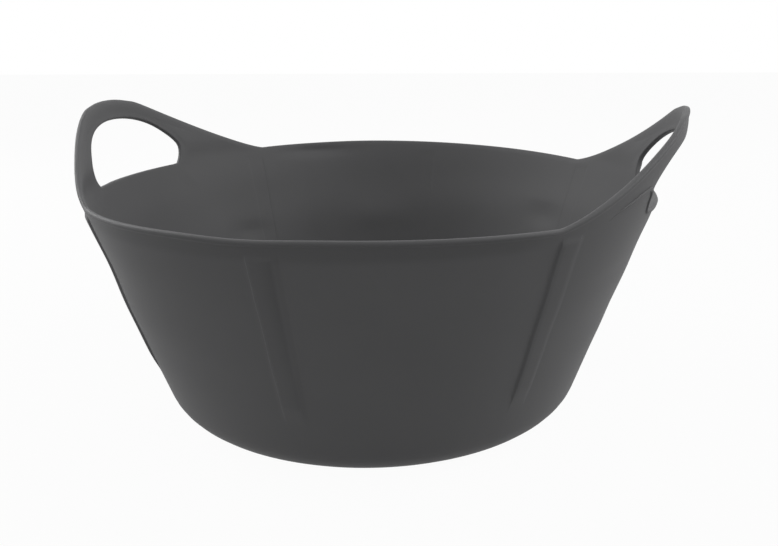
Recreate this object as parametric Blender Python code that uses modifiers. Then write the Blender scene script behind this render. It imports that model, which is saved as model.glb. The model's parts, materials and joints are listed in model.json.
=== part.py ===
"""Flexible bucket: a shallow round tub moulded in one soft plastic piece with two hoop handles.

The handles stand on the +X and -X sides. The moulding is divided only where it bends in use:
at the roots of the handles' arms, where four short webs join the hoops to the tub.
"""

import math

import bmesh
import bpy
from mathutils import Matrix, Vector
from mathutils.geometry import interpolate_bezier

# Driving dimensions of the tub, in metres and degrees
MOUTH_DIAMETER = 0.400
RIM_HEIGHT = 0.1596
RIM_CROWN = 0.0027
FOOT_DIAMETER = 0.292
FOOT_ROUNDING = 0.0304
WALL_THICKNESS = 0.003
FLOOR_THICKNESS = 0.0035
BEAD_RADIUS = 0.0017
BEAD_OVERHANG = 0.0012
BEAD_CREST = 0.0003

# Driving dimensions of the handles, heights taken from the rim's corners
HANDLE_HALF_ANGLE = 43.85
HANDLE_RISE = 0.0533
HANDLE_THICKNESS = 0.004
SHOULDER_SPAN = 0.061
SHOULDER_DROP = 0.0035
SHOULDER_SLOPE = 0.186
RIGHT_HANDLE_LEAN = 0.300
LEFT_HANDLE_LEAN = 0.130
LEAN_BLEND_HEIGHT = 0.010
HOLE_WIDTH = 0.126
HOLE_TOP = 0.0396
HOLE_SILL = -0.0043
HOLE_SIDE_HEIGHT = 0.009
HOLE_CORNER = 0.007
GRIP_FULLNESS = 0.053
SIDE_FULLNESS = 0.0025

# Driving dimensions of the ledge that runs out from the hole's sill along each arm
LEDGE_RADIUS = 0.0014
LEDGE_INSET = 0.0008
LEDGE_TOP = 0.0114
LEDGE_REACH = 0.110
LEDGE_END = -0.002

# Driving dimensions of the ribs on the outside of the wall
RIB_ANGLES = (-90.0, -41.8, 41.8, 90.0, 138.2, 221.8)
RIB_HEIGHT = 0.0012
RIB_TOP_WIDTH = 0.016
RIB_FOOT_WIDTH = 0.0115
RIB_TOP = 0.151
RIB_FOOT = 0.054

# Driving dimensions of the flex zones in the arms
HINGE_HEIGHT = 0.020
FLEX_MARGIN = 0.006
FLEX_GAP = 0.0003

# Fineness of the facets
TURN_STEPS = 96
CURVE_STEPS = 8
BLEND_STEPS = 4
ROD_SIDES = 2
HINGE_SIDES = 48

CHARCOAL = (0.052, 0.052, 0.054)
FAR = 0.30


def clear_scene():
    for obj in list(bpy.data.objects):
        bpy.data.objects.remove(obj, do_unlink=True)


def make_collection(name):
    collection = bpy.data.collections.new(name)
    bpy.context.scene.collection.children.link(collection)
    return collection


def plastic(name):
    material = bpy.data.materials.new(name)
    material.use_nodes = True
    shader = material.node_tree.nodes["Principled BSDF"]
    shader.inputs["Base Color"].default_value = (*CHARCOAL, 1.0)
    shader.inputs["Roughness"].default_value = 0.45
    shader.inputs["Metallic"].default_value = 0.0
    return material


def wall_lean():
    """Outward run of the wall for each metre of height."""
    return (MOUTH_DIAMETER - FOOT_DIAMETER) / 2 / RIM_HEIGHT


def outer_radius(height, handle_lean):
    """Outside radius at a height, with the handle's own lean above the rim's corners."""
    above = height - RIM_HEIGHT - RIM_CROWN
    radius = FOOT_DIAMETER / 2 + wall_lean() * height
    if above <= 0:
        return radius
    change = handle_lean - wall_lean()
    blended = min(above, LEAN_BLEND_HEIGHT)
    return radius + change * (above - blended + blended ** 2 / (2 * LEAN_BLEND_HEIGHT))


def sheet_thickness(height):
    """Horizontal thickness of the wall, which grows into the handle's above the rim."""
    wall = WALL_THICKNESS * math.hypot(1, wall_lean())
    share = min(max((height - RIM_HEIGHT - RIM_CROWN) / LEAN_BLEND_HEIGHT, 0), 1)
    return wall + (HANDLE_THICKNESS - wall) * share


def rounded_corner(foot_radius, floor_height, rounding):
    """Arc between a level floor and the leaning wall, from the floor up."""
    rise = math.atan2(1, wall_lean())
    run = rounding * math.tan(rise / 2)
    centre = Vector((foot_radius - run, floor_height + rounding))
    points = []
    for step in range(CURVE_STEPS + 1):
        angle = -math.pi / 2 + rise * step / CURVE_STEPS
        points.append(centre + rounding * Vector((math.cos(angle), math.sin(angle))))
    return points


def turned_section(handle_lean):
    """Section of the tub and handle sheet: up the inside from the axis, then down the outside."""
    top = RIM_HEIGHT + HANDLE_RISE + 2 * RIM_CROWN
    base = RIM_HEIGHT + RIM_CROWN
    levels = [base + LEAN_BLEND_HEIGHT * step / BLEND_STEPS for step in range(BLEND_STEPS + 1)]
    levels.append(top)
    inner_foot = outer_radius(FLOOR_THICKNESS, handle_lean) - sheet_thickness(0)
    inside = [Vector((0, FLOOR_THICKNESS))]
    inside += rounded_corner(inner_foot, FLOOR_THICKNESS, FOOT_ROUNDING - WALL_THICKNESS)
    inside += [Vector((outer_radius(z, handle_lean) - sheet_thickness(z), z)) for z in levels]
    outside = [Vector((outer_radius(z, handle_lean), z)) for z in reversed(levels)]
    outside += reversed(rounded_corner(FOOT_DIAMETER / 2, 0, FOOT_ROUNDING))
    outside.append(Vector((0, 0)))
    return inside + outside


def link_mesh(name, mesh, collection):
    obj = bpy.data.objects.new(name, mesh)
    collection.objects.link(obj)
    return obj


def hide_as_cutter(obj):
    obj.hide_render = True
    obj.display_type = "WIRE"
    return obj


def evaluated_mesh(obj):
    """Finished mesh of an object with its modifiers, loose caps welded."""
    bpy.context.view_layer.update()
    graph = bpy.context.evaluated_depsgraph_get()
    mesh = bpy.data.meshes.new_from_object(obj.evaluated_get(graph))
    mesh.transform(obj.matrix_world)
    shape = bmesh.new()
    shape.from_mesh(mesh)
    bmesh.ops.remove_doubles(shape, verts=shape.verts, dist=1e-6)
    shape.to_mesh(mesh)
    shape.free()
    return mesh


def freeze(obj, collection):
    """Replace an object by a plain mesh of what its modifiers or its curve make."""
    name = obj.name
    mesh = evaluated_mesh(obj)
    bpy.data.objects.remove(obj, do_unlink=True)
    frozen = link_mesh(name, mesh, collection)
    return hide_as_cutter(frozen)


def add_boolean(obj, other, operation, solver="EXACT"):
    modifier = obj.modifiers.new(f"{operation.lower()}_{other.name}", "BOOLEAN")
    modifier.operation = operation
    modifier.object = other
    modifier.solver = solver


def turned_blank(collection):
    """Full turn of the section with the handle sheet still standing all round."""
    section = turned_section(RIGHT_HANDLE_LEAN)
    mesh = bpy.data.meshes.new("moulding")
    edges = [(i, i + 1) for i in range(len(section) - 1)]
    mesh.from_pydata([(p.x, 0, p.y) for p in section], edges, [])
    blank = link_mesh("moulding", mesh, collection)
    screw = blank.modifiers.new("turn", "SCREW")
    screw.steps = TURN_STEPS
    screw.render_steps = TURN_STEPS
    screw.use_merge_vertices = True
    screw.merge_threshold = 1e-5
    return freeze(blank, collection)


def lean_left_side(blank):
    """Bend the sheet over the left side of the rim to the left handle's own lean.

    The change fades in over the free rim, where the sheet is trimmed off, and is whole
    within sixty degrees of the handle's middle.
    """
    for vertex in blank.data.vertices:
        place = vertex.co
        if place.x < -WALL_THICKNESS and place.z > RIM_HEIGHT:
            radius = math.hypot(place.x, place.y)
            share = min(-2 * place.x / radius, 1)
            shift = outer_radius(place.z, LEFT_HANDLE_LEAN) - outer_radius(place.z, RIGHT_HANDLE_LEAN)
            place.xy *= 1 + share * shift / radius


def box_cutter(name, low, high, collection):
    bpy.ops.mesh.primitive_cube_add(size=1)
    box = bpy.context.active_object
    box.name = name
    low, high = Vector(low), Vector(high)
    box.data.transform(Matrix.Translation((low + high) / 2) @ Matrix.Diagonal((*(high - low), 1)))
    for owner in list(box.users_collection):
        owner.objects.unlink(box)
    collection.objects.link(box)
    return hide_as_cutter(box)


def cylinder_cutter(name, radius, centre, length, collection):
    """Cylinder with its axis along Y."""
    shape = bmesh.new()
    turn = Matrix.Translation(centre) @ Matrix.Rotation(math.pi / 2, 4, "X")
    bmesh.ops.create_cone(shape, cap_ends=True, segments=HINGE_SIDES, radius1=radius, radius2=radius,
                          depth=length, matrix=turn)
    mesh = bpy.data.meshes.new(name)
    shape.to_mesh(mesh)
    shape.free()
    return hide_as_cutter(link_mesh(name, mesh, collection))


def bezier_points(start, start_handle, end_handle, end):
    """Points of one curved stretch, without its last one."""
    stretch = interpolate_bezier(start, start_handle, end_handle, end, CURVE_STEPS + 1)
    return [point.to_2d() for point in stretch[:-1]]


def corner_reach():
    """Distance from the handle's middle plane to the rim's corners, along Y."""
    return MOUTH_DIAMETER / 2 * math.sin(math.radians(HANDLE_HALF_ANGLE))


def handle_line():
    """Upper edge of a handle, from its top down to the rim's corner, as (y, z)."""
    top = Vector((0, HANDLE_RISE, 0))
    shoulder = Vector((SHOULDER_SPAN / 2, HANDLE_RISE - SHOULDER_DROP, 0))
    corner = Vector((corner_reach(), 0, 0))
    along = Vector((1, -SHOULDER_SLOPE, 0)) * SHOULDER_SPAN / 5
    points = bezier_points(top, top + Vector((along.x, 0, 0)), shoulder - along, shoulder)
    points += bezier_points(shoulder, shoulder + along, corner - along, corner)
    points.append(corner.to_2d())
    return points


def rim_rise(angle):
    """Height of the free rim over its corners, at an angle from the handles' line."""
    half = 90 - HANDLE_HALF_ANGLE
    return RIM_CROWN * (1 - ((90 - angle) / half) ** 2)


def free_rim_line():
    """Crowned upper edge from the rim's corner to the middle of the free rim, as (y, z)."""
    points = []
    for step in range(1, CURVE_STEPS + 1):
        angle = HANDLE_HALF_ANGLE + (90 - HANDLE_HALF_ANGLE) * step / CURVE_STEPS
        reach = MOUTH_DIAMETER / 2 * math.sin(math.radians(angle))
        points.append(Vector((reach, rim_rise(angle))))
    return points


def hole_line():
    """Outline of the hand hole from its top down one side to the sill's middle, as (y, z)."""
    top = Vector((0, HOLE_TOP, 0))
    side = Vector((HOLE_WIDTH / 2, HOLE_SIDE_HEIGHT, 0))
    foot = Vector((HOLE_WIDTH / 2 - HOLE_CORNER, HOLE_SILL, 0))
    drop = HOLE_SIDE_HEIGHT - HOLE_SILL
    points = bezier_points(top, top + Vector((GRIP_FULLNESS, 0, 0)),
                           side + Vector((0, SIDE_FULLNESS, 0)), side)
    points += bezier_points(side, side - Vector((0, drop / 2, 0)),
                            foot + Vector((HOLE_CORNER / 2, 0, 0)), foot)
    points.append(foot.to_2d())
    return points


def reach_at(line, height):
    """Distance from the middle plane at which a falling line passes a height."""
    for upper, lower in zip(line, line[1:]):
        if upper.y >= height >= lower.y and upper.y > lower.y:
            share = (upper.y - height) / (upper.y - lower.y)
            return upper.x + (lower.x - upper.x) * share
    return line[-1].x


def mirrored(line):
    """Whole outline from a half that starts on the middle plane."""
    return [Vector((-p.x, p.y)) for p in reversed(line[1:])] + list(line)


def side_plate(name, outline, near, far, collection):
    """Prism along X between two distances, from an outline given as (y, z) over the rim."""
    curve = bpy.data.curves.new(name, "CURVE")
    curve.dimensions = "2D"
    curve.fill_mode = "BOTH"
    curve.extrude = (far - near) / 2
    spline = curve.splines.new("POLY")
    spline.points.add(len(outline) - 1)
    for point, place in zip(spline.points, outline):
        point.co = (place.x, place.y, 0, 1)
    spline.use_cyclic_u = True
    plate = bpy.data.objects.new(name, curve)
    collection.objects.link(plate)
    stand_up = Matrix(((0, 0, 1, 0), (1, 0, 0, 0), (0, 1, 0, 0), (0, 0, 0, 1)))
    plate.matrix_world = Matrix.Translation(((near + far) / 2, 0, RIM_HEIGHT)) @ stand_up
    return freeze(plate, collection)


def rod(name, path, radius, closed, collection):
    """Round bead along a path."""
    curve = bpy.data.curves.new(name, "CURVE")
    curve.dimensions = "3D"
    curve.bevel_depth = radius
    curve.bevel_resolution = ROD_SIDES
    curve.use_fill_caps = True
    spline = curve.splines.new("POLY")
    spline.points.add(len(path) - 1)
    for point, place in zip(spline.points, path):
        point.co = (*place, 1)
    spline.use_cyclic_u = closed
    bead = bpy.data.objects.new(name, curve)
    collection.objects.link(bead)
    return freeze(bead, collection)


def on_outside(side, lean, reach, rise, inset):
    """Point on the outside of a handle or wall, at a distance along Y and a height."""
    height = RIM_HEIGHT + rise
    radius = outer_radius(height, lean) - inset
    depth = math.sqrt(max(radius ** 2 - reach ** 2, 0))
    return Vector((side * depth, reach, height))


def rim_bead(collection):
    """Bead that follows the whole upper edge, over the handles and round the free rim."""
    inset = BEAD_RADIUS - BEAD_OVERHANG
    drop = BEAD_RADIUS - BEAD_CREST
    right = [on_outside(1, RIGHT_HANDLE_LEAN, p.x, p.y - drop, inset) for p in upper_edge()]
    left = [on_outside(-1, LEFT_HANDLE_LEAN, p.x, p.y - drop, inset) for p in upper_edge()]
    return rod("rim_bead", right + left[-2:0:-1], BEAD_RADIUS, True, collection)


def upper_edge():
    """Upper edge of one side of the tub from the back of the free rim to the front."""
    return mirrored(handle_line() + free_rim_line())


def ledge_path(side, lean):
    """Ledge from one arm down round the hole's sill and out along the other arm."""
    lower = [p for p in hole_line() if p.y < LEDGE_TOP]
    reach = reach_at(hole_line(), LEDGE_TOP) + LEDGE_RADIUS
    half = [Vector((0, HOLE_SILL - LEDGE_INSET))]
    half += [p + Vector((LEDGE_INSET, -LEDGE_INSET)) for p in reversed(lower)]
    half += [Vector((reach, LEDGE_TOP)), Vector((LEDGE_REACH, LEDGE_END))]
    return [on_outside(side, lean, p.x, p.y, 0) for p in mirrored(half)]


def rib(number, angle, collection):
    """Shallow raised band on the wall, narrower at its foot."""
    slope = math.hypot(1, wall_lean())
    middle = (RIB_TOP + RIB_FOOT) / 2
    half = (RIB_TOP - RIB_FOOT) / 2 * slope
    outline = [(-RIB_FOOT_WIDTH / 2, -half), (RIB_FOOT_WIDTH / 2, -half),
               (RIB_TOP_WIDTH / 2, half), (-RIB_TOP_WIDTH / 2, half)]
    curve = bpy.data.curves.new(f"rib_{number}", "CURVE")
    curve.dimensions = "2D"
    curve.fill_mode = "BOTH"
    curve.extrude = RIB_HEIGHT
    spline = curve.splines.new("POLY")
    spline.points.add(len(outline) - 1)
    for point, place in zip(spline.points, outline):
        point.co = (*place, 0, 1)
    spline.use_cyclic_u = True
    band = bpy.data.objects.new(f"rib_{number}", curve)
    collection.objects.link(band)
    upright = Matrix.Rotation(math.pi / 2, 4, "Z") @ Matrix.Rotation(math.pi / 2, 4, "X")
    tilt = Matrix.Rotation(math.atan(wall_lean()), 4, "Y")
    place = Matrix.Translation((outer_radius(middle, wall_lean()), 0, middle))
    band.matrix_world = Matrix.Rotation(math.radians(angle), 4, "Z") @ place @ tilt @ upright
    return freeze(band, collection)


def hinge_place(side, lean):
    """Middle of the arms at the height where they bend, and half the depth they take up."""
    height = RIM_HEIGHT + HINGE_HEIGHT
    radius = outer_radius(height, lean) - HANDLE_THICKNESS / 2
    outer = math.sqrt(radius ** 2 - reach_at(hole_line(), HINGE_HEIGHT) ** 2)
    inner = math.sqrt(radius ** 2 - reach_at(handle_line(), HINGE_HEIGHT) ** 2)
    return Vector((side * (outer + inner) / 2, 0, height)), (outer - inner) / 2


def make_moulding(collection):
    """Whole moulding in one piece: the blank, trimmed to its upper edge, with its beads."""
    above = [Vector((FAR, FAR)), Vector((-FAR, FAR)), Vector((-FAR, RIM_CROWN))]
    edge = above + upper_edge() + [Vector((FAR, RIM_CROWN))]
    trim = side_plate("above_the_rim", edge, -FAR, FAR, collection)
    holes = side_plate("hand_holes", mirrored(hole_line()), -FAR, FAR, collection)
    moulding = turned_blank(collection)
    lean_left_side(moulding)
    add_boolean(moulding, trim, "DIFFERENCE")
    add_boolean(moulding, holes, "DIFFERENCE")
    add_boolean(moulding, rim_bead(collection), "UNION")
    for name, side, lean in (("right", 1, RIGHT_HANDLE_LEAN), ("left", -1, LEFT_HANDLE_LEAN)):
        path = ledge_path(side, lean)
        ledge = rod(f"{name}_ledge", path, LEDGE_RADIUS, False, collection)
        add_boolean(moulding, ledge, "UNION")
    return freeze(moulding, collection)


def finish(obj, material):
    obj.data.materials.clear()
    obj.data.materials.append(material)
    obj.data.shade_smooth()
    obj.data.set_sharp_from_angle(angle=math.radians(35))


def make_tub(moulding, hinges, parts, cutters):
    """Floor, wall, rim and the lower ends of the arms."""
    tub = link_mesh("tub_body", moulding.data.copy(), parts)
    arms = box_cutter("above_the_hinges", (-FAR, -FAR, RIM_HEIGHT + HINGE_HEIGHT),
                      (FAR, FAR, FAR), cutters)
    add_boolean(tub, arms, "DIFFERENCE", "MANIFOLD")
    for hinge in hinges:
        add_boolean(tub, hinge, "DIFFERENCE", "MANIFOLD")
    for number, angle in enumerate(RIB_ANGLES):
        add_boolean(tub, rib(number, angle, cutters), "UNION")
    finish(tub, plastic("tub_plastic"))


def make_handle(name, side, place, moulding, hinge, parts, cutters):
    """Hoop above the flex zones, with its origin on the hinge axis."""
    mesh = moulding.data.copy()
    handle = link_mesh(f"{name}_handle", mesh, parts)
    low = (min(0, side * FAR), -FAR, place.z)
    high = (max(0, side * FAR), FAR, FAR)
    add_boolean(handle, box_cutter(f"{name}_hoop", low, high, cutters), "INTERSECT", "MANIFOLD")
    add_boolean(handle, hinge, "DIFFERENCE", "MANIFOLD")
    mesh.transform(Matrix.Translation(-place))
    handle.location = place
    finish(handle, plastic(f"{name}_handle_plastic"))


def make_flex_web(name, side, place, radius, moulding, parts, cutters):
    """Short stretch of an arm that bends when the handle folds."""
    web = link_mesh(f"{name}_flex", moulding.data.copy(), parts)
    near, far = HOLE_WIDTH / 4, MOUTH_DIAMETER / 2
    centre = Vector((place.x, side * (near + far) / 2, place.z))
    core = cylinder_cutter(f"{name}_core", radius, centre, far - near, cutters)
    add_boolean(web, core, "INTERSECT", "MANIFOLD")
    finish(web, plastic(f"{name}_flex_plastic"))


def build():
    clear_scene()
    parts = make_collection("flexible_bucket")
    cutters = make_collection("cutters")
    moulding = make_moulding(cutters)
    hinges = []
    for name, side, lean in (("right", 1, RIGHT_HANDLE_LEAN), ("left", -1, LEFT_HANDLE_LEAN)):
        place, half_depth = hinge_place(side, lean)
        radius = half_depth + FLEX_MARGIN
        hinge = cylinder_cutter(f"{name}_hinge", radius + FLEX_GAP, place, MOUTH_DIAMETER, cutters)
        hinges.append(hinge)
        make_handle(name, side, place, moulding, hinge, parts, cutters)
        make_flex_web(f"{name}_front", -1, place, radius, moulding, parts, cutters)
        make_flex_web(f"{name}_back", 1, place, radius, moulding, parts, cutters)
    make_tub(moulding, hinges, parts, cutters)


build()
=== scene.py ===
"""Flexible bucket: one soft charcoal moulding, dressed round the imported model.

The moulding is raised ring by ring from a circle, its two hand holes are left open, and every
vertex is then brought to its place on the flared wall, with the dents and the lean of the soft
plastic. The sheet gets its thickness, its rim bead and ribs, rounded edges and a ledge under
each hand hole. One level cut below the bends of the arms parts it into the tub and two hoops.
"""

import json
import math

import bmesh
import bpy
import numpy as np
from mathutils import Euler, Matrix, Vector
from mathutils.geometry import interpolate_bezier

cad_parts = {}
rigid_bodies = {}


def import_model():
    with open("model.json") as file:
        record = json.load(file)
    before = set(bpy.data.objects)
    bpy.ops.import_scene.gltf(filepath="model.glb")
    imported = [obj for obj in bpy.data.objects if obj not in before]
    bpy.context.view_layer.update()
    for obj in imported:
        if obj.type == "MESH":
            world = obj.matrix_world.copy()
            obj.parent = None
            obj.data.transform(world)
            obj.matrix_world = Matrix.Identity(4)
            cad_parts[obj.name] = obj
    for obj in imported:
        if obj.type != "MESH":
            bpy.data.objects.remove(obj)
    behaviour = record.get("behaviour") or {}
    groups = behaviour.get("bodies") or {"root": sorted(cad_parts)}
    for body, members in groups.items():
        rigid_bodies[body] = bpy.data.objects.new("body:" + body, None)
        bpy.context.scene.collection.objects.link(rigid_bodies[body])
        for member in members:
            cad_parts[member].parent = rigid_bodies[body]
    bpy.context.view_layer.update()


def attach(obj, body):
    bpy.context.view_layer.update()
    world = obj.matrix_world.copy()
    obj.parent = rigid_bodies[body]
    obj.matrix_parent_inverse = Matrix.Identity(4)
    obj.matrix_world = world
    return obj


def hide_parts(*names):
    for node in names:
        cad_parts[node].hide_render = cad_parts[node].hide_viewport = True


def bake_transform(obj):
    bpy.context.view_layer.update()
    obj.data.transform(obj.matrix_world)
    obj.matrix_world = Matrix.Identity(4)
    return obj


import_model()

# Tub, in metres, heights from the floor
MOUTH_RADIUS = 0.200
RIM_HEIGHT = 0.1596
RIM_CROWN = 0.0027
EDGE_DROP = 0.0004
FOOT_RADIUS = 0.146
FOOT_ROUNDING = 0.0290
WALL_THICKNESS = 0.0030
WALL_LEAN = (MOUTH_RADIUS - FOOT_RADIUS) / RIM_HEIGHT

# Handles, heights from the rim's corners
CORNER_ANGLE = 43.85
HANDLE_RISE = 0.0535
SHOULDER_REACH = 0.0304
SHOULDER_DROP = 0.0034
SHOULDER_SLOPE = 0.186
SHOULDER_RUN = 0.0122
ARM_RUN = 0.0160
ARM_SLOPE = 0.50
ARM_STRETCH = ((5, 16), (37, 45))
GRIP_THICKNESS = 0.0043
GRIP_START = (RIM_HEIGHT - 0.002, RIM_HEIGHT + 0.014)

# Hand holes, heights from the rim's corners, and the roundings of the sheet's edges
HOLE_REACH = 0.0634
HOLE_TOP = 0.0386
HOLE_SILL = -0.0047
HOLE_SIDE = 0.0105
HOLE_CORNER = 0.0072
GRIP_FULLNESS = 0.0515
SIDE_FULLNESS = 0.0028
HOLE_SHOULDER = (0.74, 0.80)
HOLE_THICKNESS = 0.0038
HOLE_ROUNDING = 0.0012
EDGE_ROUNDING = 0.0012
ROUNDING_STEPS = 4

# Bounds of the edges at a hand hole: azimuth from the handle's middle, depth below the upper edge
HOLE_AZIMUTH = 22
HOLE_DEPTH = 0.009

# Hand holes out of their places: the left one's lower part turned back in degrees, the right one's top down
LEFT_HOLE_SHIFT = 1.0
RIGHT_HOLE_DROP = 0.0018
HOLE_MIDDLE = (0.006, 0.026)

# How far the handles' sheets stand off the wall's line at the front and at the back of each handle, and
# between which azimuths from its middle, counted towards the back, the one lean turns into the other
RIGHT_FRONT_BEND = -0.0054
RIGHT_BACK_BEND = -0.0012
RIGHT_TURN = (-20, 25)
LEFT_FRONT_BEND = -0.0069
LEFT_BACK_BEND = 0.0006
LEFT_TURN = (-12, 25)

# Rises over the corners at which the left lean starts, and how soon it is full
LEFT_BEND_FOOT = -0.005
LEFT_BEND_HEIGHT = 0.0222

# Bulge of the right handle: depth, middle and half width in degrees, rises over the corners where it
# starts and ends, and where the right lean starts and ends, each with how much later it does so there
RIGHT_BULGE = 0.0012
BULGE_MIDDLE = -5
BULGE_HALF_WIDTH = 16
BULGE_STRETCH = ((0.022, 0.040), (0.042, 0.058))
LEAN_START = (0.008, 0.022)
LEAN_END = (0.048, 0.008)

# How the rim stands out of level: depth and azimuths in degrees
BACK_RIGHT_SAG = 0.00225
SAG_STRETCH = ((-20, 40), (44, 112))
BACK_LEFT_RISE = 0.0020
RISE_STRETCH = ((72, 136), (140, 200))
FRONT_LEFT_SAG = 0.0010
FRONT_SAG_MIDDLE = 267
FRONT_SAG_HALF_WIDTH = 8

# Swell of the right side and hollow of the front left: depth, azimuths in degrees, height where it ends
SIDE_SWELL = 0.0010
SWELL_STRETCH = ((-24, -2), (6, 30))
SWELL_TOP = (0.14, 0.16)
FRONT_HOLLOW = 0.0021
HOLLOW_STRETCH = ((190, 216), (220, 246))

# Heights over which the plain wall turns into the uneven one, and azimuths where a handle's lean ends
SAG_START = (0.06, RIM_HEIGHT)
WARP_START = (0.06, 0.14)
DENT_START = (0.05, 0.08)
LEAN_HEIGHTS = (0.13, RIM_HEIGHT)
LEAN_SIDES = (40, 60)

# Dents of the soft wall: azimuth, height, half width in degrees, half height and depth outwards
DENTS = ((121, 0.1530, 8.0, 0.0050, 0.0019), (145, 0.0890, 6.0, 0.0070, 0.0018),
         (104, 0.0950, 9.0, 0.0120, -0.0012), (50, 0.1080, 6.0, 0.0090, 0.0015),
         (-22, 0.1180, 9.0, 0.0050, -0.0005))

# Fold along the back left rib, and a faint ripple all round: depth and waves round the tub and up it
FOLD_ANGLE = 139
FOLD_DEPTH = -0.0012
FOLD_HALF_WIDTH = 14
FOLD_SOFTNESS = 2.5
FOLD_TOP = (0.120, 0.165)
RIPPLE = 0.0005
RIPPLE_WAVES = ((5, 40), (3, -95))

# Rim bead: distance down from the edge and how far it stands out there, in metres
BEAD_STEPS = ((0.0, 0.0004), (0.0017, 0.0008), (0.0023, 0.0006), (0.0028, 0.0003),
              (0.0033, 0.0001), (0.0040, 0.0), (0.0050, 0.0), (0.0064, 0.0))
HANDLE_BEAD_SHARE = 0.6
HANDLE_BEAD_END = (40, 50)

# Share of the sheet's thickness at the upper edge, from the edge inwards
UPPER_TAPER = (0.74, 0.90, 0.94, 0.96, 0.98)

# Ribs on the outside of the wall: middle and half width in degrees from the right handle
RIBS = ((-90.0, 2.6), (-41.0, 2.14), (41.0, 2.14), (90.0, 2.6), (139.0, 2.14), (221.0, 2.14))
RIB_HEIGHT = 0.0013
RIB_PRESSED_SHARE = 0.15
RIB_EDGE = 0.175
RIB_SOFT_EDGE = 0.70
RIB_STRETCH = ((0.040, 0.056), (0.150, 0.154))

# Painted shade on the ribs' faces, standing in for the shade that falls on them: share at a middle rib's
# left, how much more at its right, share on the others, least relief of a face, and what is left of it at
# the foot
MIDDLE_RIB_PAINTED_SHADE = (0.35, 0.55)
MIDDLE_RIB_TURN = (-1.5, 1.5)
MIDDLE_RIB_REACH = 5
OTHER_RIB_PAINTED_SHADE = 0.25
RIB_FACE = (0.8, 1.0)
PAINTED_SHADE_FOOT_SHARE = 0.45
PAINTED_SHADE_HEIGHTS = (0.05, 0.13)

# Painted shade in a band below the rim, standing in for the shade under the bead: share, heights over which
# it starts, azimuths where the handles end it
RIM_BAND_PAINTED_SHADE = 0.6
BAND_START = (0.1470, 0.1530)
BAND_SIDES = (44, 52)

# Ledge below a hand hole, from the sill's middle to its end on the arm: azimuth, rise over the corners
LEDGE_LINE = ((0, -0.0056), (8, -0.0056), (15.4, -0.0056), (17.4, -0.0036), (18.8, 0.0025),
              (19.2, 0.0080), (20.4, 0.0112), (23.0, 0.0105), (27.2, 0.0067), (31.3, 0.0025),
              (33.6, -0.0018))
LEDGE_RADIUS = 0.0014
LEDGE_SINK = 0.0002
LEDGE_BEND = 18.3
LEDGE_BEND_HALF_WIDTH = 1.8
LEDGE_BEND_SINK = 0.0008
LEDGE_END = (25, 34)
LEDGE_END_SINK = 0.0011
LEDGE_END_SHARE = 0.5

# Layout of the moulding's mesh, and points in each curved stretch of an outline
CURVE_POINTS = 60
COLUMNS = 480
QUARTER = COLUMNS // 4
HOLE_COLUMNS = 26
RIB_COLUMN = 51
CORNER_COLUMN = 60
COLUMN_MARKS = (0, HOLE_COLUMNS, RIB_COLUMN, 53, 57, 59, CORNER_COLUMN, 114, 116, QUARTER)
MARK_ANGLES = (0, 19.5, 38.7, 39.0, 42.95, 43.3, CORNER_ANGLE, 87.2, 87.6, 90)
UNDERSIDE_RADII = (0.012, 0.050, 0.085, 0.110)
ROUNDING_RINGS = 8
WALL_RINGS = 22
BELT_DROP = 0.040
SILL_ROW = 10
HOLE_ROWS = 16
GRIP_ROWS = 5
FREE_ROWS = SILL_ROW + HOLE_ROWS + GRIP_ROWS
TOP_ROW = FREE_ROWS + len(BEAD_STEPS) - 1
HOLE_RINGS = (0.0, 0.0021, 0.0040)
NEAR_RINGS = (1, 6)
EVENING_ROUNDS = 1500

# Cut between tub and hoops
CUT_HEIGHT = RIM_HEIGHT + 0.0045

# Camera: place, turn in degrees about X, Y and Z, lens in millimetres
CAMERA_PLACE = (0.159256, -0.549237, 0.254700)
CAMERA_TURN = (73.6923, 0.7259, 14.6284)
CAMERA_LENS = 36.606

# Soft boxes: name, place, width, height and watts, all aimed at the middle of the tub
LIT_MIDDLE = (0, 0, 0.1)
SOFT_BOXES = (
    ("left_box", (-1.6, -0.5, 1.2), 1.2, 1.2, 4.5),
    ("right_box", (1.7, 0.1, 1.0), 1.2, 1.2, 10),
    ("back_box", (0.0, 1.8, 1.5), 1.6, 1.0, 5),
    ("front_box", (-0.6, -1.3, 1.0), 1.2, 1.2, 4.5),
    ("left_rear_box", (-1.4, 0.3, 0.9), 0.8, 0.8, 13),
    ("right_rear_box", (1.2, 0.4, 1.2), 0.8, 0.8, 9),
)


def smooth(value, low, high):
    """Share from 0 to 1 with soft ends, between two values."""
    share = np.clip((np.asarray(value, float) - low) / (high - low), 0, 1)
    return share * share * (3 - 2 * share)


def hump(value, start, end):
    """Share that rises from 0 to 1 over the start and falls back over the end, each a pair of values."""
    return smooth(value, *start) * (1 - smooth(value, *end))


def curved(*stretches):
    """Dense points of joined curved stretches, as (reach, rise)."""
    points = []
    for start, start_handle, end_handle, end in stretches:
        ends = [Vector((*place, 0)) for place in (start, start_handle, end_handle, end)]
        points += [p[:2] for p in interpolate_bezier(*ends, CURVE_POINTS)[:-1]]
    return np.array(points + [stretches[-1][-1]])


def handle_line():
    """Upper edge of a handle, from its top to the rim's corner."""
    corner = MOUTH_RADIUS * math.sin(math.radians(CORNER_ANGLE))
    shoulder = (SHOULDER_REACH, HANDLE_RISE - SHOULDER_DROP)
    before = (shoulder[0] - SHOULDER_RUN, shoulder[1] + SHOULDER_RUN * SHOULDER_SLOPE)
    over = ((0, HANDLE_RISE), (SHOULDER_RUN, HANDLE_RISE), before, shoulder)
    drop = ARM_RUN * SHOULDER_SLOPE
    after = (shoulder[0] + ARM_RUN, shoulder[1] - drop)
    down = (shoulder, after, (corner - ARM_RUN, drop), (corner, 0))
    return curved(over, down)


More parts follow.
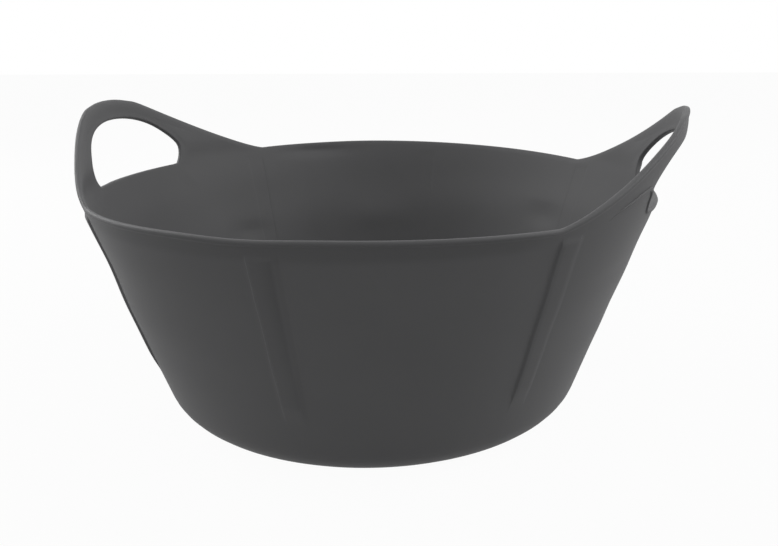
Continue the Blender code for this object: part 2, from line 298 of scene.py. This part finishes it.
def hole_line():
    """Hand hole's outline, from its top down one side to the middle of its sill."""
    side = (HOLE_REACH, HOLE_SIDE)
    foot = (HOLE_REACH - HOLE_CORNER, HOLE_SILL)
    half = (HOLE_SIDE - HOLE_SILL) / 2
    over = ((0, HOLE_TOP), (GRIP_FULLNESS, HOLE_TOP), (HOLE_REACH, HOLE_SIDE + SIDE_FULLNESS), side)
    corner = (side, (HOLE_REACH, HOLE_SIDE - half), (foot[0] + HOLE_CORNER / 3, HOLE_SILL + half / 3), foot)
    sill = (foot, (foot[0] * 0.7, HOLE_SILL), (foot[0] * 0.3, HOLE_SILL), (0, HOLE_SILL))
    return curved(over, corner, sill)


def column_angle(column):
    """Azimuth in degrees of a column of vertices within a quarter turn from a handle's middle.

    The columns stand close together along the edges of the ribs.
    """
    return np.interp(column, COLUMN_MARKS, MARK_ANGLES)


def upper_rise(angle):
    """Height of the upper edge over the rim's corners at an azimuth from a handle's middle."""
    line = handle_line()
    reach = MOUTH_RADIUS * np.sin(np.radians(np.abs(angle)))
    free = RIM_CROWN * (1 - ((90 - np.abs(angle)) / (90 - CORNER_ANGLE)) ** 2)
    edge = np.where(np.abs(angle) < CORNER_ANGLE, np.interp(reach, line[:, 0], line[:, 1]), free)
    return edge - EDGE_DROP


def edge_stretch(angle):
    """Stretch of the bead's steps where the upper edge falls, so that the bead keeps its width."""
    return np.hypot(1, ARM_SLOPE * hump(np.abs(angle), *ARM_STRETCH))


def along_line(line, count, ease):
    """Evenly counted points along a line, closer together towards its start by the ease."""
    steps = np.hypot(*np.diff(line, axis=0).T)
    length = np.concatenate([[0], np.cumsum(steps)])
    wanted = length[-1] * (np.arange(count + 1) / count) ** ease
    return np.column_stack([np.interp(wanted, length, line[:, k]) for k in (0, 1)])


def hole_rings():
    """Rings of points round one half of the hand hole: sill, side and top, at each distance."""
    line = hole_line()
    outward = np.gradient(line, axis=0)
    outward = np.column_stack([-outward[:, 1], outward[:, 0]])
    outward /= np.hypot(*outward.T)[:, None]
    corner = int(np.argmin(np.abs(line[:, 1] - line[:, 0] - HOLE_SILL + HOLE_REACH - HOLE_CORNER / 3)))
    reach, rise = HOLE_SHOULDER[0] * HOLE_REACH, HOLE_SHOULDER[1] * HOLE_TOP
    shoulder = int(np.argmin(np.hypot(line[:, 0] - reach, line[:, 1] - rise)))
    rings = []
    for distance in HOLE_RINGS:
        ring = line + outward * distance
        top = along_line(ring[:shoulder + 1], HOLE_COLUMNS, 1.0)
        side = along_line(ring[shoulder:corner + 1][::-1], HOLE_ROWS, 1.2)
        sill = along_line(ring[corner:], HOLE_COLUMNS, 1.2)
        rings.append((sill[::-1], side, top))
    return rings


def handle_patch():
    """Places (along, rise) of the rows and columns over a handle, from the belt to the edge."""
    columns = np.arange(-CORNER_COLUMN, CORNER_COLUMN + 1)
    angles = np.sign(columns) * column_angle(np.abs(columns))
    edge = upper_rise(angles)
    rows = np.arange(TOP_ROW + 1)
    patch = np.zeros((len(rows), len(columns), 2))
    patch[:, :, 0] = MOUTH_RADIUS * np.radians(angles)
    lowest = edge - BEAD_STEPS[-1][0] * edge_stretch(angles)
    share = np.clip(rows / FREE_ROWS, 0, 1)[:, None]
    patch[:, :, 1] = -BELT_DROP + share * (lowest + BELT_DROP)
    held = np.zeros(patch.shape[:2], bool)
    for step, (distance, _) in enumerate(BEAD_STEPS):
        patch[TOP_ROW - step, :, 1] = edge - distance * edge_stretch(angles)
    held[FREE_ROWS:] = True
    held[0] = True
    held[:, np.abs(columns) >= RIB_COLUMN] = True
    middle = CORNER_COLUMN
    for ring, (sill, side, top) in enumerate(hole_rings()):
        low, high = SILL_ROW - ring, SILL_ROW + HOLE_ROWS + ring
        reach = HOLE_COLUMNS + ring
        sill = stretched(sill, ring)
        side = stretched(side, 2 * ring)
        top = stretched(top, ring)
        for hand in (-1, 1):
            turn = np.array([hand, 1])
            spread = middle + hand * np.arange(reach + 1)
            patch[low, spread] = unrolled(sill) * turn
            patch[high, spread] = unrolled(top) * turn
            patch[low:high + 1, middle + hand * reach] = unrolled(side) * turn
            held[low, spread] = held[high, spread] = True
            held[low:high + 1, middle + hand * reach] = True
    hidden = (slice(SILL_ROW + 1, SILL_ROW + HOLE_ROWS),
              slice(middle - HOLE_COLUMNS + 1, middle + HOLE_COLUMNS))
    held[hidden] = True
    for _ in range(EVENING_ROUNDS):
        mean = (patch[:-2, 1:-1] + patch[2:, 1:-1] + patch[1:-1, :-2] + patch[1:-1, 2:]) / 4
        patch[1:-1, 1:-1] = np.where(held[1:-1, 1:-1, None], patch[1:-1, 1:-1], mean)
    return angles, patch


def stretched(points, more):
    """The same line through a few more points."""
    count = len(points) - 1 + more
    places = np.linspace(0, len(points) - 1, count + 1)
    return np.column_stack([np.interp(places, np.arange(len(points)), points[:, k]) for k in (0, 1)])


def unrolled(points):
    """Points (reach, rise) with the reach measured round the wall."""
    reach = np.clip(points[:, 0] / MOUTH_RADIUS, -1, 1)
    return np.column_stack([MOUTH_RADIUS * np.arcsin(reach), points[:, 1]])


def base_section():
    """Radius and height of the rings below the belt, from the middle of the underside up."""
    rise = math.atan2(1, WALL_LEAN)
    middle = FOOT_RADIUS - FOOT_ROUNDING * math.tan(rise / 2)
    section = [(radius, 0.0) for radius in UNDERSIDE_RADII]
    for ring in range(ROUNDING_RINGS + 1):
        angle = -math.pi / 2 + rise * ring / ROUNDING_RINGS
        section.append((middle + FOOT_ROUNDING * math.cos(angle),
                        FOOT_ROUNDING * (1 + math.sin(angle))))
    start = section[-1][1]
    belt = RIM_HEIGHT - BELT_DROP
    for ring in range(1, WALL_RINGS):
        height = start + (belt - start) * ring / WALL_RINGS
        section.append((FOOT_RADIUS + WALL_LEAN * height, height))
    return section


BASE_RINGS = len(base_section())


def raise_rings():
    """Plain tube: a circle pulled up once for each ring of the moulding."""
    bpy.ops.object.select_all(action="DESELECT")
    bpy.ops.mesh.primitive_circle_add(vertices=COLUMNS, radius=1.0)
    tube = bpy.context.active_object
    tube.name = "moulding"
    bpy.ops.object.mode_set(mode="EDIT")
    bpy.ops.mesh.select_mode(type="EDGE")
    bpy.ops.mesh.select_all(action="SELECT")
    for _ in range(BASE_RINGS + TOP_ROW):
        bpy.ops.mesh.extrude_region_move(TRANSFORM_OT_translate={"value": (0, 0, 1)})
    bpy.ops.object.mode_set(mode="OBJECT")
    return tube


def ring_and_column(place):
    """Ring and column of a vertex of the plain tube, columns counted from the right handle."""
    turn = math.atan2(place.y, place.x) / (2 * math.pi)
    return round(place.z), round(turn * COLUMNS) % COLUMNS


def open_hand_holes(tube):
    """Take out the faces inside both hand holes and close the underside."""
    low = BASE_RINGS + SILL_ROW
    for face in tube.data.polygons:
        ring = face.center.z - low
        turn = math.degrees(math.atan2(face.center.y, face.center.x)) * COLUMNS / 360
        from_handle = min(abs(turn), COLUMNS / 2 - abs(turn))
        face.select = 0 < ring < HOLE_ROWS and from_handle < HOLE_COLUMNS
    edit(tube, "FACE")
    bpy.ops.mesh.delete(type="FACE")
    bpy.ops.object.mode_set(mode="OBJECT")
    for edge in tube.data.edges:
        edge.select = all(tube.data.vertices[v].co.z < 0.5 for v in edge.vertices)
    edit(tube, "EDGE")
    bpy.ops.mesh.edge_face_add()
    bpy.ops.object.mode_set(mode="OBJECT")


def select_alone(obj):
    """Make an object the active one and the only one selected."""
    bpy.ops.object.select_all(action="DESELECT")
    bpy.context.view_layer.objects.active = obj
    obj.select_set(True)


def edit(obj, mode):
    """Open an object in edit mode with the selection that the code has just made."""
    select_alone(obj)
    items = obj.data.polygons if mode == "FACE" else obj.data.edges
    picked = [item.select for item in items]
    bpy.ops.object.mode_set(mode="EDIT")
    bpy.ops.mesh.select_mode(type=mode)
    bpy.ops.mesh.select_all(action="DESELECT")
    shape = bmesh.from_edit_mesh(obj.data)
    items = shape.faces if mode == "FACE" else shape.edges
    for item, chosen in zip(items, picked):
        item.select_set(chosen)
    bmesh.update_edit_mesh(obj.data)


def handle_shift(side, back, rise):
    """How far a handle's sheet stands off the line of the wall, where the soft arms have bent.

    The back is the azimuth from the handle's middle towards the back of the tub.
    """
    if side > 0:
        depth = RIGHT_FRONT_BEND + (RIGHT_BACK_BEND - RIGHT_FRONT_BEND) * smooth(back, *RIGHT_TURN)
        middle = np.exp(-((back - BULGE_MIDDLE) / BULGE_HALF_WIDTH) ** 2)
        start, end = (first + later * middle for first, later in (LEAN_START, LEAN_END))
        return RIGHT_BULGE * middle * hump(rise, *BULGE_STRETCH) + depth * smooth(rise, start, end)
    depth = LEFT_FRONT_BEND + (LEFT_BACK_BEND - LEFT_FRONT_BEND) * smooth(back, *LEFT_TURN)
    return depth * (1 - np.exp(-(np.maximum(rise - LEFT_BEND_FOOT, 0) / LEFT_BEND_HEIGHT) ** 2))


def sag(theta):
    """Change in the rim's height where the soft tub has warped: down at the back right and above
    the front rib, up at the back left.
    """
    down = BACK_RIGHT_SAG * float(hump(theta, *SAG_STRETCH))
    up = BACK_LEFT_RISE * float(hump(theta, *RISE_STRETCH))
    front = math.exp(-((theta % 360 - FRONT_SAG_MIDDLE) / FRONT_SAG_HALF_WIDTH) ** 2)
    return up - down - FRONT_LEFT_SAG * front


def wall_place(theta, height):
    """Point of the moulding's outer face at an azimuth in degrees and a height."""
    theta = (theta + 90) % 360 - 90
    side = 1 if theta < 90 else -1
    back = theta if side > 0 else 180 - theta
    radius = FOOT_RADIUS + WALL_LEAN * height
    near = 1 - float(smooth(abs(back), *LEAN_SIDES))
    near *= float(smooth(height, *LEAN_HEIGHTS))
    radius += near * float(handle_shift(side, back, height - RIM_HEIGHT))
    radius += float(smooth(height, *WARP_START)) * wall_warp(theta, height)
    radius += float(smooth(height, *DENT_START)) * dents(theta, height)
    angle = math.radians(theta)
    height += sag(theta) * float(smooth(height, *SAG_START))
    return Vector((radius * math.cos(angle), radius * math.sin(angle), height))


def wall_warp(theta, height):
    """Small swell of the right side and hollow of the front left, where the soft wall stands uneven."""
    swell = hump(theta, *SWELL_STRETCH) * (1 - smooth(height, *SWELL_TOP))
    hollow = hump(theta, *HOLLOW_STRETCH)
    return SIDE_SWELL * float(swell) - FRONT_HOLLOW * float(hollow)


def dents(theta, height):
    """How far the soft wall stands out at a place: a few dents, a fold along a rib, a faint ripple."""
    turn = math.radians(theta)
    first, second = (round_it * turn + up * height for round_it, up in RIPPLE_WAVES)
    total = RIPPLE * math.sin(first) * math.cos(second)
    for azimuth, middle, half_width, half_height, depth in DENTS:
        away = (theta - azimuth + 180) % 360 - 180
        total += depth * math.exp(-(away / half_width) ** 2 - ((height - middle) / half_height) ** 2)
    fold = max(0.0, 1 - math.hypot(theta - FOLD_ANGLE, FOLD_SOFTNESS) / FOLD_HALF_WIDTH)
    fold *= 1 - float(smooth(height, *FOLD_TOP))
    return total + FOLD_DEPTH * fold


def rib_share(theta, height):
    """Share of the ribs' full height: crisp edges, but a soft one at the right of the middle ribs."""
    total = 0.0
    for middle, half in RIBS:
        away = (theta - middle + 180) % 360 - 180
        soft = RIB_SOFT_EDGE if abs(middle) == 90 else RIB_EDGE
        rise = smooth(away, -half - RIB_EDGE, -half + RIB_EDGE)
        fall = 1 - smooth(away, half + RIB_EDGE - 2 * soft, half + RIB_EDGE)
        total += float(rise * fall)
    return total * float(hump(height, *RIB_STRETCH))


def mould(tube):
    """Bring every vertex of the plain tube to its place, and note its wall, relief and painted shade."""
    section = base_section()
    angles, patch = handle_patch()
    middle = CORNER_COLUMN
    walls, reliefs = [], []
    # Painted shade: a share per vertex that darkens the colour on the ribs' faces and below the rim
    painted_shade = tube.data.attributes.new("painted_shade", "FLOAT", "POINT")
    for vertex in tube.data.vertices:
        ring, column = ring_and_column(vertex.co)
        from_right = (column + COLUMNS // 2) % COLUMNS - COLUMNS // 2
        side = 0 if abs(from_right) <= QUARTER else 180
        offset = from_right if side == 0 else (column - COLUMNS // 2)
        angle = math.copysign(float(column_angle(abs(offset))), offset)
        row = ring - BASE_RINGS
        near = near_hole(row, offset)
        relief = 0.0
        if ring <= ROUNDING_RINGS + len(UNDERSIDE_RADII):
            radius, height = section[ring]
            theta = math.radians(side + angle)
            vertex.co = (radius * math.cos(theta), radius * math.sin(theta), height)
        elif row < 0:
            vertex.co = wall_place(side + angle, section[ring][1])
        else:
            if abs(offset) <= CORNER_COLUMN:
                along, rise = patch[row, middle + offset]
                angle = math.degrees(along / MOUTH_RADIUS)
                low = 1 - float(smooth(rise, *HOLE_MIDDLE))
                angle -= LEFT_HOLE_SHIFT * low * near * (side > 0)
                rise -= RIGHT_HOLE_DROP * (1 - low) * near * (side == 0)
            else:
                rise = free_rise(row, angle)
            vertex.co = wall_place(side + angle, RIM_HEIGHT + rise)
        height = vertex.co.z
        step = TOP_ROW - row
        if step < len(BEAD_STEPS):
            free = float(smooth(abs(angle), *HANDLE_BEAD_END))
            relief += BEAD_STEPS[step][1] * (HANDLE_BEAD_SHARE + (1 - HANDLE_BEAD_SHARE) * free)
        rib = rib_share(side + angle, height)
        relief += RIB_HEIGHT * (1 - RIB_PRESSED_SHARE) * rib
        vertex.co.xy *= 1 + RIB_HEIGHT * RIB_PRESSED_SHARE * rib / max(vertex.co.xy.length, FOOT_RADIUS)
        painted_shade.data[vertex.index].value = painted_shade_share(side + angle, height, rib)
        grip = float(smooth(height, *GRIP_START))
        thickness = WALL_THICKNESS + (GRIP_THICKNESS - WALL_THICKNESS) * grip
        thickness += (HOLE_THICKNESS - thickness) * near
        walls.append(thickness * (UPPER_TAPER[step] if step < len(UPPER_TAPER) else 1))
        reliefs.append(relief)
    return walls, reliefs


def near_hole(row, offset):
    """Closeness to a hand hole, from 1 at its edge to 0 six rings away."""
    ring = max(SILL_ROW - row, row - SILL_ROW - HOLE_ROWS, abs(offset) - HOLE_COLUMNS, 0)
    return 1 - float(smooth(ring, *NEAR_RINGS))


def painted_shade_share(theta, height, rib):
    """Share of painted shade: on the ribs' faces, most on the middle ribs, and in the band below the rim.
    """
    across = theta % 180 - 90
    # Painted shade on the ribs' faces, darkest at the right of the middle ribs
    face = OTHER_RIB_PAINTED_SHADE
    if abs(across) < MIDDLE_RIB_REACH:
        face = MIDDLE_RIB_PAINTED_SHADE[0] + MIDDLE_RIB_PAINTED_SHADE[1] * smooth(across, *MIDDLE_RIB_TURN)
    face *= smooth(rib, *RIB_FACE)
    face *= PAINTED_SHADE_FOOT_SHARE + (1 - PAINTED_SHADE_FOOT_SHARE) * smooth(height, *PAINTED_SHADE_HEIGHTS)
    # Painted shade in a band below the rim, in place of the shade under the bead
    from_handle = abs((theta + 90) % 180 - 90)
    band = smooth(height, *BAND_START) * smooth(from_handle, *BAND_SIDES)
    return max(float(face), RIM_BAND_PAINTED_SHADE * float(band))


def free_rise(row, angle):
    """Height over the rim's corners of a row outside the handles."""
    edge = float(upper_rise(angle))
    step = TOP_ROW - row
    if step < len(BEAD_STEPS):
        return edge - BEAD_STEPS[step][0] * float(edge_stretch(angle))
    lowest = edge - BEAD_STEPS[-1][0] * float(edge_stretch(angle))
    return -BELT_DROP + row / FREE_ROWS * (lowest + BELT_DROP)


def face_outwards(obj):
    """Turn the skin's faces to the outside."""
    select_alone(obj)
    bpy.ops.object.mode_set(mode="EDIT")
    bpy.ops.mesh.select_all(action="SELECT")
    bpy.ops.mesh.normals_make_consistent(inside=False)
    bpy.ops.object.mode_set(mode="OBJECT")
    level = [f for f in obj.data.polygons if f.center.z > RIM_HEIGHT / 2]
    outward = sum(f.normal.x * f.center.x + f.normal.y * f.center.y for f in level)
    if outward < 0:
        obj.data.flip_normals()


def thicken(obj, walls):
    """Give the skin its inner face, thin in the wall and fuller in the grips."""
    group = obj.vertex_groups.new(name="wall")
    for index, wall in enumerate(walls):
        group.add([index], wall / GRIP_THICKNESS, "REPLACE")
    solid = obj.modifiers.new("thickness", "SOLIDIFY")
    solid.thickness = GRIP_THICKNESS
    solid.offset = -1
    solid.use_even_offset = True
    solid.vertex_group = "wall"
    bpy.ops.object.modifier_apply(modifier="thickness")
    obj.vertex_groups.clear()


def raise_relief(obj, reliefs, normals):
    """Stand the bead and the ribs out of the outer face, whose vertices come first, and keep the
    painted shade to that face.
    """
    for vertex, relief, normal in zip(obj.data.vertices, reliefs, normals):
        if relief:
            vertex.co += relief * normal
    for shade_share in obj.data.attributes["painted_shade"].data[len(reliefs):]:
        shade_share.value = 0.0


def closing_edges(obj, at_hole):
    """Pick the square edges at the rim or at the hand holes, between a skin and the closing faces."""
    mesh = obj.data
    closing = mesh.attributes["closing"].data
    sides = [set() for _ in mesh.edges]
    for face in mesh.polygons:
        for loop in face.loop_indices:
            sides[mesh.loops[loop].edge_index].add(closing[face.index].value)
    for edge, both in zip(mesh.edges, sides):
        middle = (mesh.vertices[edge.vertices[0]].co + mesh.vertices[edge.vertices[1]].co) / 2
        angle = math.degrees(math.atan2(middle.y, abs(middle.x)))
        below = float(upper_rise(angle)) - (middle.z - RIM_HEIGHT) if len(both) == 2 else 0
        inside = abs(angle) < HOLE_AZIMUTH and below > HOLE_DEPTH
        edge.select = len(both) == 2 and inside == at_hole


def round_edges(obj, skin_faces):
    """Round the square edges at the rim and then those at the hand holes.

    The faces that close the sheet's edge come last in the mesh, and are marked for both rounds.
    """
    group = obj.data.attributes.new("closing", "INT", "FACE")
    for face in obj.data.polygons:
        group.data[face.index].value = int(face.index >= 2 * skin_faces)
    for at_hole, rounding in ((False, EDGE_ROUNDING), (True, HOLE_ROUNDING)):
        closing_edges(obj, at_hole)
        edit(obj, "EDGE")
        bpy.ops.mesh.bevel(offset=rounding, segments=ROUNDING_STEPS, profile=0.5,
                           clamp_overlap=True, loop_slide=False)
        bpy.ops.object.mode_set(mode="OBJECT")


def sill_ledge(side):
    """Rounded ledge along the outside of a hand hole's sill, sunk in the sheet and fading at its ends."""
    line = [(-angle, rise) for angle, rise in reversed(LEDGE_LINE[1:])] + list(LEDGE_LINE)
    curve = bpy.data.curves.new("sill_ledge", "CURVE")
    curve.dimensions = "3D"
    curve.resolution_u = 8
    curve.bevel_depth = LEDGE_RADIUS
    curve.bevel_resolution = 3
    spline = curve.splines.new("BEZIER")
    spline.bezier_points.add(len(line) - 1)
    for point, (angle, rise) in zip(spline.bezier_points, line):
        end = float(smooth(abs(angle), *LEDGE_END))
        place = wall_place(side + angle - LEFT_HOLE_SHIFT * (side > 0), RIM_HEIGHT + rise)
        bend = math.exp(-((abs(angle) - LEDGE_BEND) / LEDGE_BEND_HALF_WIDTH) ** 2)
        sink = LEDGE_SINK + LEDGE_BEND_SINK * bend + LEDGE_END_SINK * end
        point.co = place - place.normalized() * sink
        point.handle_left_type = point.handle_right_type = "AUTO"
        point.radius = 1 - LEDGE_END_SHARE * end
    ledge = bpy.data.objects.new("sill_ledge", curve)
    bpy.context.scene.collection.objects.link(ledge)
    select_alone(ledge)
    bpy.ops.object.convert(target="MESH")
    bpy.ops.object.mode_set(mode="EDIT")
    bpy.ops.mesh.select_all(action="SELECT")
    bpy.ops.mesh.fill_holes(sides=0)
    bpy.ops.object.mode_set(mode="OBJECT")
    return ledge


def join_ledges(tube):
    """Make both sill ledges one with the moulding."""
    ledges = [sill_ledge(0), sill_ledge(180)]
    bpy.ops.object.select_all(action="DESELECT")
    for piece in (tube, *ledges):
        piece.select_set(True)
    bpy.context.view_layer.objects.active = tube
    bpy.ops.object.join()


def cut_level(obj, height):
    """Cut a clean level line right through a mesh."""
    bpy.ops.object.mode_set(mode="EDIT")
    bpy.ops.mesh.select_all(action="SELECT")
    bpy.ops.mesh.bisect(plane_co=(0, 0, height), plane_no=(0, 0, 1))
    bpy.ops.object.mode_set(mode="OBJECT")


def broad_normals(mesh):
    """Normal at each vertex, weighted by the area of its faces, by place."""
    total = {}
    for face in mesh.polygons:
        push = face.normal * face.area
        for index in face.vertices:
            total[index] = total.get(index, Vector()) + push
    return {key(mesh.vertices[i].co): n.normalized() for i, n in total.items()}


def key(place):
    """Place of a vertex as a key, to a hundredth of a millimetre."""
    return tuple(round(v * 1e5) for v in place)


def part_off(obj, name, chosen):
    """Separate the faces whose centre the test picks into a piece of their own."""
    for face in obj.data.polygons:
        face.select = chosen(face.center)
    before = set(bpy.data.objects)
    edit(obj, "FACE")
    bpy.ops.mesh.separate(type="SELECTED")
    bpy.ops.object.mode_set(mode="OBJECT")
    piece = (set(bpy.data.objects) - before).pop()
    piece.name = name
    return piece


def close_cuts(obj, normals):
    """Cap the cut arms and keep the shading that the whole moulding had."""
    select_alone(obj)
    bpy.ops.object.mode_set(mode="EDIT")
    bpy.ops.mesh.select_mode(type="EDGE")
    bpy.ops.mesh.select_all(action="SELECT")
    bpy.ops.mesh.fill_holes(sides=0)
    bpy.ops.object.mode_set(mode="OBJECT")
    obj.data.shade_smooth()
    kept = [normals.get(key(v.co), Vector()) for v in obj.data.vertices]
    obj.data.normals_split_custom_set_from_vertices(kept)


def make_moulding():
    """Tub and two hoops, parted from one moulding."""
    tube = raise_rings()
    open_hand_holes(tube)
    walls, reliefs = mould(tube)
    face_outwards(tube)
    normals = [v.normal.copy() for v in tube.data.vertices]
    skin_faces = len(tube.data.polygons)
    thicken(tube, walls)
    raise_relief(tube, reliefs, normals)
    round_edges(tube, skin_faces)
    join_ledges(tube)
    cut_level(tube, CUT_HEIGHT)
    shading = broad_normals(tube.data)
    right = part_off(tube, "right_hoop_moulding", lambda c: c.z > CUT_HEIGHT and c.x > 0)
    left = part_off(tube, "left_hoop_moulding", lambda c: c.z > CUT_HEIGHT and c.x < 0)
    tube.name = "tub_moulding"
    for piece in (tube, right, left):
        close_cuts(piece, shading)
    return tube, right, left


def linear(hex_colour):
    """Linear colour from an sRGB hex value."""
    channels = [int(hex_colour[i:i + 2], 16) / 255 for i in (1, 3, 5)]
    turned = [c / 12.92 if c <= 0.04045 else ((c + 0.055) / 1.055) ** 2.4 for c in channels]
    return (*turned, 1.0)


def add_node(tree, kind, inputs=(), links=(), **settings):
    """Node with its settings, its values and the links that feed it."""
    node = tree.nodes.new(kind)
    for name, value in settings.items():
        setattr(node, name, value)
    for name, value in dict(inputs).items():
        node.inputs[name].default_value = value
    for name, source in dict(links).items():
        tree.links.new(source, node.inputs[name])
    return node


def moulded_polyethylene():
    """Soft low-density polyethylene out of a lightly grained mould: satin, charcoal all through,
    with painted shade that darkens the colour on the ribs' faces and in a band below the rim.
    """
    material = bpy.data.materials.new("moulded_polyethylene")
    material.use_nodes = True
    tree = material.node_tree
    shader = tree.nodes["Principled BSDF"]
    shader.inputs["IOR"].default_value = 1.42
    shader.inputs["Specular IOR Level"].default_value = 0.25
    place = add_node(tree, "ShaderNodeTexCoord").outputs["Object"]
    grain = add_node(tree, "ShaderNodeTexNoise", {"Scale": 900.0, "Detail": 2.0}, {"Vector": place})
    cloud = add_node(tree, "ShaderNodeTexNoise", {"Scale": 14.0, "Detail": 3.0}, {"Vector": place})
    tint = add_node(tree, "ShaderNodeMix", {"A": linear("#4f4f50"), "B": linear("#575758")},
                    {"Factor": cloud.outputs["Fac"]}, data_type="RGBA")
    shade_share = add_node(tree, "ShaderNodeAttribute", attribute_name="painted_shade").outputs["Fac"]
    # Painted shade: the colour darkened by the painted-shade share
    painted_shade_mix = add_node(tree, "ShaderNodeMix", {"B": linear("#4a4a4b")},
                    {"Factor": shade_share, "A": tint.outputs["Result"]}, data_type="RGBA")
    tree.links.new(painted_shade_mix.outputs["Result"], shader.inputs["Base Color"])
    gloss = add_node(tree, "ShaderNodeMapRange", {"To Min": 0.55, "To Max": 0.65},
                     {"Value": cloud.outputs["Fac"]})
    tree.links.new(gloss.outputs["Result"], shader.inputs["Roughness"])
    bump = add_node(tree, "ShaderNodeBump", {"Strength": 0.25, "Distance": 0.0001},
                    {"Height": grain.outputs["Fac"]})
    tree.links.new(bump.outputs["Normal"], shader.inputs["Normal"])
    return material


def paint(material, *pieces):
    """Give pieces one material."""
    for piece in pieces:
        piece.data.materials.clear()
        piece.data.materials.append(material)


def set_camera():
    """Camera that sees the tub as the photograph shows it."""
    data = bpy.data.cameras.new("camera")
    data.lens = CAMERA_LENS
    data.sensor_width = 36.0
    camera = bpy.data.objects.new("camera", data)
    bpy.context.scene.collection.objects.link(camera)
    camera.location = CAMERA_PLACE
    camera.rotation_euler = Euler([math.radians(a) for a in CAMERA_TURN])
    bpy.context.scene.camera = camera


def white_paper():
    """Matt white sweep that the camera sees as almost white, with the tub's soft shadow on it."""
    material = bpy.data.materials.new("white_paper")
    material.use_nodes = True
    tree = material.node_tree
    paper = tree.nodes["Principled BSDF"]
    paper.inputs["Base Color"].default_value = (0.40, 0.40, 0.40, 1)
    paper.inputs["Roughness"].default_value = 0.9
    glow = add_node(tree, "ShaderNodeEmission", {"Strength": 1.0}).outputs[0]
    share = add_node(tree, "ShaderNodeMath", {1: 0.96}, {0: seen_rays(tree)}, operation="MULTIPLY")
    both = add_node(tree, "ShaderNodeMixShader", (),
                    {0: share.outputs[0], 1: paper.outputs[0], 2: glow})
    tree.links.new(both.outputs[0], tree.nodes["Material Output"].inputs["Surface"])
    return material


def seen_rays(tree):
    """One for the rays that see the sweep, by themselves or in a reflection, and else nothing."""
    paths = add_node(tree, "ShaderNodeLightPath").outputs
    seen = add_node(tree, "ShaderNodeMath", (), {0: paths["Is Camera Ray"], 1: paths["Is Glossy Ray"]},
                    operation="MAXIMUM")
    seen = add_node(tree, "ShaderNodeMath", (), {0: seen.outputs[0], 1: paths["Is Transmission Ray"]},
                    operation="MAXIMUM")
    return seen.outputs[0]


def add_soft_box(name, place, width, height, watts):
    """Rectangular lamp aimed at the middle of the tub."""
    data = bpy.data.lights.new(name, "AREA")
    data.shape = "RECTANGLE"
    data.size = width
    data.size_y = height
    data.energy = watts
    lamp = bpy.data.objects.new(name, data)
    bpy.context.scene.collection.objects.link(lamp)
    lamp.location = place
    lamp.rotation_euler = (Vector(LIT_MIDDLE) - Vector(place)).to_track_quat("-Z", "Y").to_euler()


def set_studio():
    """White sweep under soft boxes in front, at both sides and behind."""
    world = bpy.data.worlds.new("studio")
    bpy.context.scene.world = world
    world.use_nodes = True
    tree = world.node_tree
    strength = add_node(tree, "ShaderNodeMapRange", {"To Min": 0.45, "To Max": 1.0},
                        {"Value": seen_rays(tree)})
    shade = tree.nodes["Background"]
    shade.inputs["Color"].default_value = (1, 1, 1, 1)
    tree.links.new(strength.outputs["Result"], shade.inputs["Strength"])
    bpy.ops.object.select_all(action="DESELECT")
    bpy.ops.mesh.primitive_plane_add(size=12)
    floor = bpy.context.active_object
    floor.name = "floor"
    paint(white_paper(), floor)
    for box in SOFT_BOXES:
        add_soft_box(*box)


bpy.context.scene.view_settings.view_transform = "Standard"
set_camera()
set_studio()
tub, right_hoop, left_hoop = make_moulding()
paint(moulded_polyethylene(), tub, right_hoop, left_hoop)

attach(tub, "tub")
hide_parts("tub_body")
for hoop, hand in ((right_hoop, "right"), (left_hoop, "left")):
    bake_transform(hoop)
    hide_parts(f"{hand}_handle", f"{hand}_front_flex", f"{hand}_back_flex")
